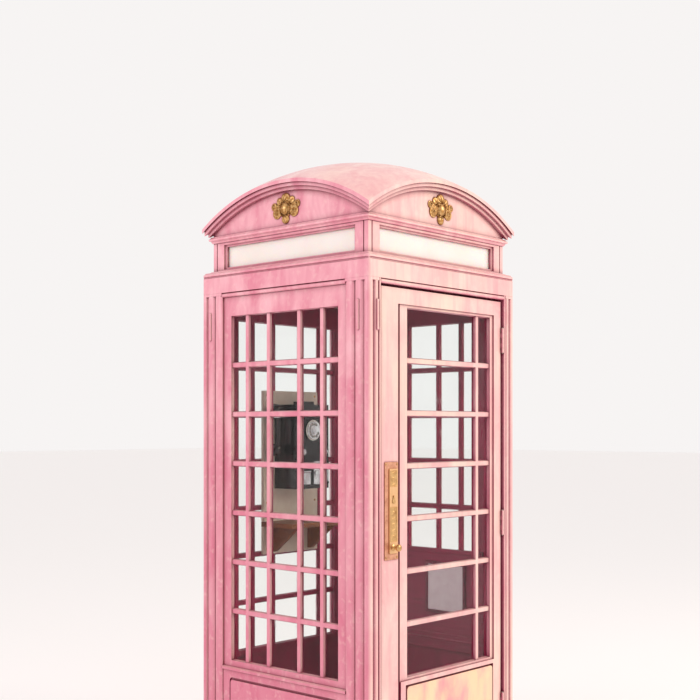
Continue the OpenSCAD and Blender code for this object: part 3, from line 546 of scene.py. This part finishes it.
relief_points, relief_faces = cartouche_grid()
front_low, front_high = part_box("ornament_front")
for side_name, turns in (("front", 0), ("right", 1), ("back", 2), ("left", 3)):
    points = np.stack([relief_points[:, 0] * MM, front_high.y - relief_points[:, 2] * MM,
                       relief_points[:, 1] * MM + (front_low.z + front_high.z) / 2], -1)
    new_piece("cartouche_" + side_name, turn_about_z(points, turns), relief_faces, gold, "booth",
              ["ornament_" + side_name])

# ---------- ceiling and lamp ----------
# A maroon-stained board closes the top inside, and an opal glass globe hangs from a steel holder
# screwed to it.
def stained_board(name, pale, dark, along, grain_size=9 * MM, roughness=0.42):
    """Close-grained timber under stain and thin varnish. Gives streaky grain along one axis, darker
    pores and a soft sheen."""
    material, shader = new_material(name, Coat_Weight=0.2, Coat_Roughness=0.25)
    link = material.node_tree.links.new
    place = add_node(material, "ShaderNodeTexCoord").outputs["Object"]
    stretched = add_node(material, "ShaderNodeMapping", {"Vector": place, "Scale": along}).outputs[0]
    bands = patches(material, stretched, grain_size, 0.3, 0.7, Detail=6, Roughness=0.6, Distortion=0.8)
    pores = patches(material, stretched, grain_size / 6, 0.58, 0.66, 0.5, Detail=2)
    link(coats(material, dark, (bands, pale), (pores, dark)), shader.inputs["Base Color"])
    dull = add_node(material, "ShaderNodeMath", {0: bands, 1: 0.14, 2: roughness},
                    operation="MULTIPLY_ADD").outputs[0]
    link(dull, shader.inputs["Roughness"])
    bump = add_node(material, "ShaderNodeBump", {"Height": bands, "Strength": 0.3, "Distance": 0.4 * MM})
    link(bump.outputs[0], shader.inputs["Normal"])
    return material


set_material(["ceiling_panel"], stained_board("maroon_stained_ceiling", "8a2442", "661a30", (0.05, 1, 1)))
set_material(["lamp_holder"], worn_metal("lamp_holder_steel", "b4b0ad", "6f5d58", 0.35))


def turned(profile, sides=64, is_ring=False):
    """A turned shape about Z: for each (radius, height) of the profile and each angle, the point
    (radius cos, radius sin, height). A ring's profile meets itself; any other ends on the axis."""
    radius, height = np.array(profile, float).T
    angle = np.linspace(0, 2 * np.pi, sides, endpoint=False)
    x, y = radius[:, None] * np.cos(angle), radius[:, None] * np.sin(angle)
    z = np.broadcast_to(height[:, None], x.shape)
    return np.stack([x, y, z], -1).reshape(-1, 3), grid_faces(len(profile), sides, is_ring, True)


def towards_door(points):
    """Turns a shape's Z axis to -Y, so that it faces out of the door or off the backboard."""
    x, y, z = points.T
    return np.stack([x, -z, y], -1)


GLOBE_RADIUS = 58
NECK_HEIGHT = 24
globe_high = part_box("lamp_globe")[1]
globe_angle = np.linspace(-np.pi / 2, math.asin(NECK_HEIGHT / GLOBE_RADIUS), 40)
globe_profile = np.concatenate([
    np.stack([GLOBE_RADIUS * np.cos(globe_angle), GLOBE_RADIUS * np.sin(globe_angle)], -1),
    [(50, NECK_HEIGHT), (0, NECK_HEIGHT)]])
points, faces = turned(globe_profile)
opal_globe, globe_shader = new_material("opal_globe_glass", Roughness=0.12, Subsurface_Weight=0.5,
                                        Subsurface_Scale=5 * MM, Emission_Strength=0.25,
                                        Emission_Color=linear("fff1d6"))
place = add_node(opal_globe, "ShaderNodeTexCoord").outputs["Object"]
swirl = add_node(opal_globe, "ShaderNodeTexNoise", {"Vector": place, "Scale": 1 / (40 * MM), "Detail": 4,
                                                    "Distortion": 1.5}).outputs[0]
opal_globe.node_tree.links.new(coats(opal_globe, "fbf6ea", (swirl, "efe4d0")),
                               globe_shader.inputs["Base Color"])
new_piece("lamp_opal_globe", points * MM + (0, 0, globe_high.z - NECK_HEIGHT * MM), faces, opal_globe,
          "booth", ["lamp_globe"])

# ---------- door ----------
# A softwood door of broad stiles and rails, with a planted glazing frame beside a deep groove. Its face
# to the light is painted peach and cream as painted light, with more cream than the castings.
DOOR_GLASS_DEPTH = 34 * MM
DOOR_PUTTY_RISE = 8.5 * MM
door_paint = booth_paint("gloss_enamel_on_door_timber", booth_half - DOOR_GLASS_DEPTH, 0.9, 0.28, 0.7)
set_material(["door_leaf", "door_glazing"], door_paint)
soften(["door_leaf", "door_glazing"], 1.8)
points, faces = pane_putty("door_panes", 0, DOOR_PUTTY_RISE)
new_piece("door_putty", points, faces, door_paint, "door")

# The lower panel is raised and fielded. Its cream top coat has worn through to pink in tall patches.
cream_paint, cream_shader = new_material("worn_cream_enamel", Coat_Weight=0.2, Coat_Roughness=0.2)
place = add_node(cream_paint, "ShaderNodeTexCoord").outputs["Object"]
tall = add_node(cream_paint, "ShaderNodeMapping", {"Vector": place, "Scale": (1, 1, 0.45)}).outputs[0]
worn = add_node(cream_paint, "ShaderNodeTexNoise", {"Vector": tall, "Scale": 1 / (130 * MM), "Detail": 5,
                "Roughness": 0.55, "Distortion": 0.4}).outputs[0]
through = add_node(cream_paint, "ShaderNodeMapRange", {"Value": worn, "From Min": 0.36, "From Max": 0.64},
                   interpolation_type="SMOOTHSTEP").outputs[0]
tone = add_node(cream_paint, "ShaderNodeTexNoise", {"Vector": tall, "Scale": 1 / (60 * MM),
                "Detail": 4}).outputs[0]
under_coat = coats(cream_paint, "f1b0ac", (tone, "e08f9b"))
# painted shade: darker in the panel's grooves and corners
groove_shade = hollows(cream_paint, 22 * MM, 0.35, 0.95, 0.9, 6)
cream_paint.node_tree.links.new(coats(cream_paint, "fadcb8", (tone, "f5cda0"), (through, under_coat),
                                      (groove_shade, "9c3a4e")), cream_shader.inputs["Base Color"])
dull = add_node(cream_paint, "ShaderNodeMapRange", {"Value": worn, "To Min": 0.3, "To Max": 0.5})
cream_paint.node_tree.links.new(dull.outputs[0], cream_shader.inputs["Roughness"])
cream_paint.node_tree.links.new(brush_marks(cream_paint, place, 0.8), cream_shader.inputs["Normal"])
set_material(["door_kick_panel"], cream_paint)
soften(["door_kick_panel"], 2)

# ---------- hinges and screws ----------
# Three steel butt hinges with loose pins, painted over in place. Every fitting is held by slotted
# screws with rounded heads, each left with its slot at its own angle.
set_material(["hinge_frame_leaves", "hinge_door_leaves"], cast_iron_paint)
set_material(["hinge_pins"], worn_metal("hinge_pin_steel", "c9b9b4", "8d6a68", 0.3))
HEAD_SIDES = 36
SLOT_TURN = 2.4


def screw_heads(name, places, right, up, radius_mm, material, body):
    """Slotted heads, one per place: over a disc the height is a low dome, and less inside the slot,
    which crosses each head at its own angle. right and up span the surface, out of which they stand."""
    places, right, up = np.array(places, float), np.array(right, float), np.array(up, float)
    radius = radius_mm * MM
    share = np.array([0, 0.06, 0.13, 0.14, 0.3, 0.5, 0.7, 0.86, 0.96, 1.0])
    angle = np.linspace(0, 2 * np.pi, HEAD_SIDES, endpoint=False)
    x, y = share[:, None] * np.cos(angle), share[:, None] * np.sin(angle)
    height = 0.16 + 0.34 * np.sqrt(np.clip(1 - share[:, None] ** 2, 0, 1)) - 0.26 * (np.abs(x) < 0.135)
    x = np.concatenate([x, x[-1:], 0 * x[-1:]])
    y = np.concatenate([y, y[-1:], 0 * y[-1:]])
    height = np.concatenate([height, 0 * height[-2:]])
    turn = SLOT_TURN * np.arange(len(places))[:, None, None]
    across_head = (x * np.cos(turn) - y * np.sin(turn))[..., None] * right
    up_head = (x * np.sin(turn) + y * np.cos(turn))[..., None] * up
    out = np.cross(right, up) * height[..., None]
    points = places[:, None, None, :] + radius * (across_head + up_head + out)
    ring = grid_faces(len(height), HEAD_SIDES, False, True)
    faces = ring[None] + len(height) * HEAD_SIDES * np.arange(len(places))[:, None, None]
    return new_piece(name, points.reshape(-1, 3), faces.reshape(-1, 4), material, body, sharp=30)


screw_steel = worn_metal("screw_steel", "c9c6c4", "7a6a66", 0.3, (1, 1, 1))
HINGE_FEET = (0.25, 1.0, 1.75)
FIRST_SCREW, SCREW_STEP = 20 * MM, 20 * MM
SCREW_STAGGER = 9 * MM
LEAF_THICKNESS = 1.8 * MM
leaf_screws = [(-booth_half + 32 * MM + i % 2 * SCREW_STAGGER, foot + FIRST_SCREW + i * SCREW_STEP)
               for foot in HINGE_FEET for i in range(4)]
door_leaf_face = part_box("hinge_door_leaves")[0].x + LEAF_THICKNESS
frame_leaf_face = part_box("hinge_frame_leaves")[1].x - LEAF_THICKNESS
screw_heads("door_leaf_screws", [(door_leaf_face, y, z) for y, z in leaf_screws], (0, 1, 0), (0, 0, 1),
            3.6, screw_steel, "door")
screw_heads("frame_leaf_screws", [(frame_leaf_face, y, z) for y, z in leaf_screws], (0, -1, 0), (0, 0, 1),
            3.6, screw_steel, "booth")

# ---------- lock furniture ----------
# A cast brass finger plate, redder and duller on its broad back plate than on the raised strip, which
# hands keep bright. The strip has two chased fields, the keyhole under its swinging cover and the knob.
plate_low, plate_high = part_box("lock_plate")
knob_low, knob_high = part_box("door_knob")
STRIP_X = (knob_low.x + knob_high.x) / 2
STRIP_FACE = -booth_half + 5 * MM
plate_brass = worn_metal("red_toned_brass", "e3ab8c", "9a5a44", 0.34)
plate_shader = plate_brass.node_tree.nodes["Principled BSDF"]
back_colour = plate_shader.inputs["Base Color"].links[0].from_socket
place = add_node(plate_brass, "ShaderNodeTexCoord").outputs["Object"]
depth = add_node(plate_brass, "ShaderNodeSeparateXYZ", {0: place}).outputs[1]
raised = add_node(plate_brass, "ShaderNodeMath", {0: depth, 1: STRIP_FACE + 3.5 * MM},
                  operation="LESS_THAN").outputs[0]
raised = add_node(plate_brass, "ShaderNodeMath", {0: raised, 1: 0.7}, operation="MULTIPLY").outputs[0]
plate_brass.node_tree.links.new(coats(plate_brass, back_colour, (raised, "f0c890")),
                                plate_shader.inputs["Base Color"])
bright_brass = worn_metal("handled_brass", "e6bb80", "8a5a30", 0.24)
set_material(["lock_plate"], plate_brass)
set_material(["keyhole_cover", "lock_bolt", "strike_plate", "inside_pull"], bright_brass)
set_material(["lock_case"], worn_metal("lock_case_steel", "a9a5a3", "5d4a48", 0.45))
soften(["lock_plate", "keyhole_cover", "strike_plate", "lock_bolt"], 0.6)
soften(["lock_case", "inside_pull"], 0.8)


WAVE_STEP = 7 * MM
STRIP_HALF = 19 * MM


def chased_field(x, z, half_x, half_z):
    """Height over a point of a field: a rounded rim, a running wave of leaves along the middle (a ridge
    that swings from side to side, with lobes off it) and a matted ground between them."""
    inset = np.minimum(half_x - np.abs(x), half_z - np.abs(z))
    rim = 1.5 * MM * np.exp(-((inset - 1.6 * MM) / (1.0 * MM)) ** 2)
    swing = 6 * MM * np.sin(z / WAVE_STEP)
    stem = 1.2 * MM * np.exp(-((x - swing) / (1.6 * MM)) ** 2)
    leaf_x = x + 0.9 * swing
    leaf_z = (np.mod(z / WAVE_STEP + np.pi / 2, np.pi) - np.pi / 2) * WAVE_STEP
    leaf = 1.3 * MM * np.exp(-((leaf_x / (5 * MM)) ** 2 + (leaf_z / (4 * MM)) ** 2) ** 2)
    fade = np.clip((inset - 2.4 * MM) / (1.5 * MM), 0, 1)
    edge = np.clip(inset / (0.6 * MM), 0, 1)
    return edge * (0.3 * MM + rim + fade * np.maximum(stem, leaf))


def chased_plate(name, low_z, high_z):
    """One chased field on the strip: a grid over its face, lifted by its height, and a flat back."""
    half_z = (high_z - low_z) / 2
    x, z = np.meshgrid(np.linspace(-STRIP_HALF, STRIP_HALF, 56), np.linspace(-half_z, half_z, 190))
    face = STRIP_FACE - chased_field(x, z, STRIP_HALF, half_z)
    top = np.stack([STRIP_X + x, face, low_z + half_z + z], -1)
    back = top.copy()
    back[..., 1] = STRIP_FACE + 0.5 * MM
    rows, columns = x.shape
    front = grid_faces(rows, columns)
    count = rows * columns
    rim = np.concatenate([np.arange(columns), np.arange(1, rows) * columns + columns - 1,
                          count - 2 - np.arange(columns - 1), np.arange(rows - 2, 0, -1) * columns])
    next_rim = np.roll(rim, -1)
    wall = np.stack([rim, next_rim, next_rim + count, rim + count], -1)
    faces = np.concatenate([front, front[:, ::-1] + count, wall])
    new_piece(name, np.concatenate([top.reshape(-1, 3), back.reshape(-1, 3)]), faces, bright_brass, "door")


chased_plate("chased_field_low", 1.021, 1.150)
chased_plate("chased_field_high", 1.224, 1.284)
screw_heads("finger_plate_screws", [(x, -booth_half + 9 * MM, z) for x in
            (plate_low.x + 7 * MM, plate_high.x - 7 * MM) for z in (0.964, 1.306)],
            (1, 0, 0), (0, 0, 1), 3.8, bright_brass, "door")

# The knob is turned from bar with its rose and a beaded neck, on a spindle through the door to a
# smaller knob inside.
KNOB_HEIGHT = 1.0
KNOB_PROFILE = [
    (0, -73), (11, -73), (13, -72), (14, -70), (14, -63), (13, -61), (11.5, -60), (6, -59.5),
    (5.5, -50), (11, -49), (12, -48), (12, -45.2), (4, -45.2), (4, 7.4), (12, 7.4), (12, 8.4),
    (10.5, 9.2), (7.5, 9.8), (6, 11), (5.2, 13), (6.6, 14.2), (6.6, 15.2), (5.2, 16.4), (5.1, 18),
    (7, 20.6), (10.2, 23.6), (12.4, 26.6), (13.4, 30), (13.2, 33.4), (11.6, 36.4), (8.6, 38.6),
    (4.6, 39.7), (0, 40)]
points, faces = turned(KNOB_PROFILE)
new_piece("turned_door_knob", towards_door(points) * MM + (STRIP_X, -booth_half + 12 * MM, KNOB_HEIGHT),
          faces, bright_brass, "knob", ["door_knob"])

# ---------- inside timber ----------
# Maroon-stained panelling on the right wall with a framed enamel notice panel, and a cream painted
# backboard with an oak parcel shelf below the telephone.
set_material(["dado_panel"], stained_board("maroon_stained_panelling", "ab2450", "84183c", (1, 0.06, 1)))
set_material(["shelf"], stained_board("oak_shelf_varnished", "a8683c", "6b3a20", (0.06, 1, 1)))
soften(["dado_panel", "shelf"], 1.5)


def soft_enamel(name, colour, worn_colour, roughness, patch_size):
    """Sprayed enamel indoors. Gives a faint orange peel and rubbed lighter patches."""
    material, shader = new_material(name, Coat_Weight=0.3, Coat_Roughness=0.1)
    link = material.node_tree.links.new
    place = add_node(material, "ShaderNodeTexCoord").outputs["Object"]
    patch = add_node(material, "ShaderNodeTexNoise", {"Vector": place, "Scale": 1 / patch_size,
                     "Detail": 6, "Roughness": 0.65}).outputs[0]
    rubbed = add_node(material, "ShaderNodeMapRange", {"Value": patch, "From Min": 0.4, "From Max": 0.7,
                      "To Max": 0.6}).outputs[0]
    link(coats(material, colour, (rubbed, worn_colour)), shader.inputs["Base Color"])
    dull = add_node(material, "ShaderNodeMath", {0: patch, 1: 0.2, 2: roughness - 0.1},
                    operation="MULTIPLY_ADD").outputs[0]
    link(dull, shader.inputs["Roughness"])
    peel = add_node(material, "ShaderNodeTexNoise", {"Vector": place, "Scale": 1 / (4 * MM)}).outputs[0]
    bump = add_node(material, "ShaderNodeBump", {"Height": peel, "Strength": 0.15, "Distance": 0.3 * MM})
    link(bump.outputs[0], shader.inputs["Normal"])
    return material


set_material(["backboard"], soft_enamel("ivory_enamel_board", "ecdccb", "d9c3ae", 0.4, 60 * MM))
set_material(["notice_board"], soft_enamel("white_enamel_notice", "f4e6ea", "e3ccd4", 0.3, 50 * MM))
soften(["backboard"], 2)
soften(["notice_board"], 0.6)
board_low, board_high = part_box("notice_board")
frame_wood = stained_board("maroon_picture_frame", "8f2f49", "6b2038", (1, 0.06, 1), 6 * MM)
board_flat = turn_about_z(np.array([board_low, board_high], float), -1)
FRAME_SECTION = [(-9, 5.5), (-9, -3), (-7, -6.5), (-3, -8), (1, -7), (3, -3.5), (4, -0.5), (4, 0.4),
                 (0.2, 0.4), (0.2, 5.5)]
points, faces = mitred_rings(board_flat[:, 0].min(keepdims=True), board_flat[:, 0].max(keepdims=True),
                             np.array([board_low.z]), np.array([board_high.z]),
                             [(a * MM, b * MM) for a, b in FRAME_SECTION])
new_piece("notice_frame", turn_about_z(points + (0, board_flat[:, 1].max(), 0), 1), faces, frame_wood,
          "booth")
back_low, back_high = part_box("backboard")
screw_heads("backboard_screws", [(x, back_low.y, z) for x in (back_low.x + 18 * MM, back_high.x - 18 * MM)
            for z in (back_low.z + 0.02, 1.12, 1.58)], (1, 0, 0), (0, 0, 1), 5, bright_brass,
            "booth")

# ---------- telephone ----------
# A pressed steel coin box in black enamel. Its dial, buttons, return flap and cash door are chromium
# plated, and the number ring behind the finger wheel is white enamel with black numerals.
black_enamel = soft_enamel("black_stoving_enamel", "151416", "2a282a", 0.24, 30 * MM)
chrome = worn_metal("chromium_plate", "e3e4e6", "8c8a8c", 0.08, tarnish=0.4)
set_material(["phone_case"], black_enamel)
set_material(["phone_dial", "button_a", "button_b", "return_flap", "cash_door", "switch_hook"], chrome)
soften(["phone_case"], 1.6)
soften(["return_flap", "cash_door", "switch_hook"], 0.6)
soften(["button_a", "button_b", "phone_dial"], 0.7, 50)

dial_low, dial_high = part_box("phone_dial")
DIAL_X, DIAL_Z = (dial_low.x + dial_high.x) / 2, (dial_low.z + dial_high.z) / 2
PLATE_FACE = dial_low.y + 8.3 * MM


def placed_on_dial(points):
    """Moves a shape that was drawn about the dial's middle, facing -Y, with 0 as the plate's face."""
    return points * MM + (DIAL_X, PLATE_FACE, DIAL_Z)


white_enamel = soft_enamel("white_number_ring_enamel", "f4f1ea", "e4ded2", 0.2, 12 * MM)
RING_SECTION = [(14, -0.3), (44, -0.3), (44, 0.06), (43.7, 0.12), (14.2, 0.12), (14, 0.06)]
points, faces = turned(RING_SECTION, 96, True)
new_piece("number_ring", placed_on_dial(towards_door(points)), faces, white_enamel, "booth")
black_print, print_shader = new_material("black_fired_numerals", Roughness=0.3)
place = add_node(black_print, "ShaderNodeTexCoord").outputs["Object"]
ink = add_node(black_print, "ShaderNodeTexNoise", {"Vector": place, "Scale": 1 / (2 * MM)}).outputs[0]
black_print.node_tree.links.new(coats(black_print, "121112", (ink, "2c2a2b")),
                                print_shader.inputs["Base Color"])
NUMERAL_SIZE = 9.5
HOLE_RING = 27
all_points, all_faces = [], []
for place_in_ring in range(10):
    curve = bpy.data.curves.new("numeral", "FONT")
    curve.body, curve.size, curve.extrude = str((place_in_ring + 1) % 10), NUMERAL_SIZE, 0.08
    curve.align_x, curve.align_y = "CENTER", "CENTER"
    text = bpy.data.objects.new("numeral", curve)
    bpy.context.collection.objects.link(text)
    flat = bpy.data.meshes.new_from_object(text.evaluated_get(bpy.context.evaluated_depsgraph_get()))
    outline = np.empty(len(flat.vertices) * 3, np.float32)
    flat.vertices.foreach_get("co", outline)
    outline = outline.reshape(-1, 3).astype(float)
    middle = (outline.max(0) + outline.min(0)) / 2 * (1, 1, 0)
    angle = math.radians(60 + 30 * place_in_ring)
    start = sum(len(part) for part in all_points)
    all_faces += [[start + corner for corner in polygon.vertices] for polygon in flat.polygons]
    all_points.append(outline - middle + (HOLE_RING * math.cos(angle), HOLE_RING * math.sin(angle), 0.1))
    bpy.data.objects.remove(text)
    bpy.data.curves.remove(curve)
    bpy.data.meshes.remove(flat)
new_piece("dial_numerals", placed_on_dial(towards_door(np.concatenate(all_points))), all_faces,
          black_print, "booth")

# The handset is moulded: an arched handle of rounded section between two caps, each with a screwed
# rim, ribs for the fingers and rings of sound holes.
handset_low, handset_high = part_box("handset")
HANDSET_X, HANDSET_Y = (handset_low.x + handset_high.x) / 2, handset_low.y + 12 * MM
EAR_RADIUS, MOUTH_RADIUS = 28, 26
HANDLE_LENGTH = 168
HANDLE_HALF = 9.2
EAR_Z = handset_high.z - EAR_RADIUS * MM
MOUTH_Z = EAR_Z - HANDLE_LENGTH * MM
bakelite, bakelite_shader = new_material("polished_bakelite", Coat_Weight=0.4, Coat_Roughness=0.06)
place = add_node(bakelite, "ShaderNodeTexCoord").outputs["Object"]
flow = patches(bakelite, place, 16 * MM, 0.4, 0.7, Detail=6, Distortion=2.5)
bakelite.node_tree.links.new(coats(bakelite, "17110f", (flow, "3a2620")),
                             bakelite_shader.inputs["Base Color"])
dull = add_node(bakelite, "ShaderNodeMapRange", {"Value": flow, "To Min": 0.16, "To Max": 0.3}).outputs[0]
bakelite.node_tree.links.new(dull, bakelite_shader.inputs["Roughness"])


def handset_cap(radius, centre_z):
    """A cap, drawn for a radius of 28 and scaled: its profile turned about Y, with finger ribs round the
    rim (radius less 0.35 (1 - cos 60 angle)) and sound holes sunk 2.4 into the face in two rings."""
    back = [(0, -11.8), (8, -11.6), (15, -10.2), (20, -7.4), (23.5, -3), (25.4, 3), (26, 9), (26, 14)]
    rim = [(26.6, 14.8), (27.6, 15.4), (28, 16.5), (28, 26), (27.6, 28), (26.2, 30.4), (24, 32.4),
           (22, 33.4)]
    face = [(21.6 - 0.6 * i, 33.4 - 2.2 * math.sin(math.pi * i / 72)) for i in range(36)]
    share = radius / 28
    points, faces = turned([(r * share, h) for r, h in back + rim + face] + [(0, 31.2)], 180)
    x, y, z = points.T
    distance, angle = np.hypot(x, y), np.arctan2(y, x)
    rib = 0.35 * (np.cos(60 * angle) * ((z > 16) & (z < 27)) - 1) * (distance > radius - 2)
    hole = (z > 30.5) * (np.cos(12 * angle) > 0.1) * (np.abs(distance - 9) < 1.3)
    hole = hole + (z > 30.5) * (np.cos(18 * angle) > 0.1) * (np.abs(distance - 15) < 1.3)
    scale = 1 + rib / np.maximum(distance, 1)
    points = np.stack([x * scale, y * scale, z - 2.4 * hole], -1)
    return towards_door(points) * (1, -1, 1) * MM + (HANDSET_X, HANDSET_Y, centre_z), faces[:, ::-1]


along = np.linspace(0, 1, 49)
section_angle = np.linspace(0, 2 * np.pi, 40, endpoint=False)
cosine, sine = np.cos(section_angle), np.sin(section_angle)
section_x = HANDLE_HALF * np.sign(cosine) * np.abs(cosine) ** 0.8
section_y = HANDLE_HALF * np.sign(sine) * np.abs(sine) ** 0.8
slender = (1 - 0.14 * np.sin(np.pi * along))[:, None]
arch = (-1.8 * np.sin(np.pi * along))[:, None]
handle = np.stack([section_x * slender, section_y * slender + arch,
                   np.broadcast_to(HANDLE_LENGTH * along[:, None], (49, 40))], -1)
handle = np.concatenate([handle[:1] * (0, 0, 1), handle, handle[-1:] * (0, 0, 1)]).reshape(-1, 3)
GLAND_PROFILE = [(0, -38), (3.2, -38), (4, -37.2), (4, -34), (5, -33.4), (5, -30.5), (4.4, -30),
                 (5, -29.4), (5, -26.5), (4.4, -26), (5, -25.4), (5, -22), (0, -22)]
gland, gland_faces = turned(GLAND_PROFILE, 40)
shells = [(handle * MM + (HANDSET_X, HANDSET_Y, MOUTH_Z), grid_faces(51, 40, False, True)),
          handset_cap(EAR_RADIUS, EAR_Z), handset_cap(MOUTH_RADIUS, MOUTH_Z),
          (gland * MM + (HANDSET_X, HANDSET_Y, MOUTH_Z), gland_faces)]
starts = np.cumsum([0] + [len(points) for points, faces in shells])
new_piece("moulded_handset", np.concatenate([points for points, faces in shells]),
          np.concatenate([faces + start for (points, faces), start in zip(shells, starts)]), bakelite,
          "receiver", ["handset"])
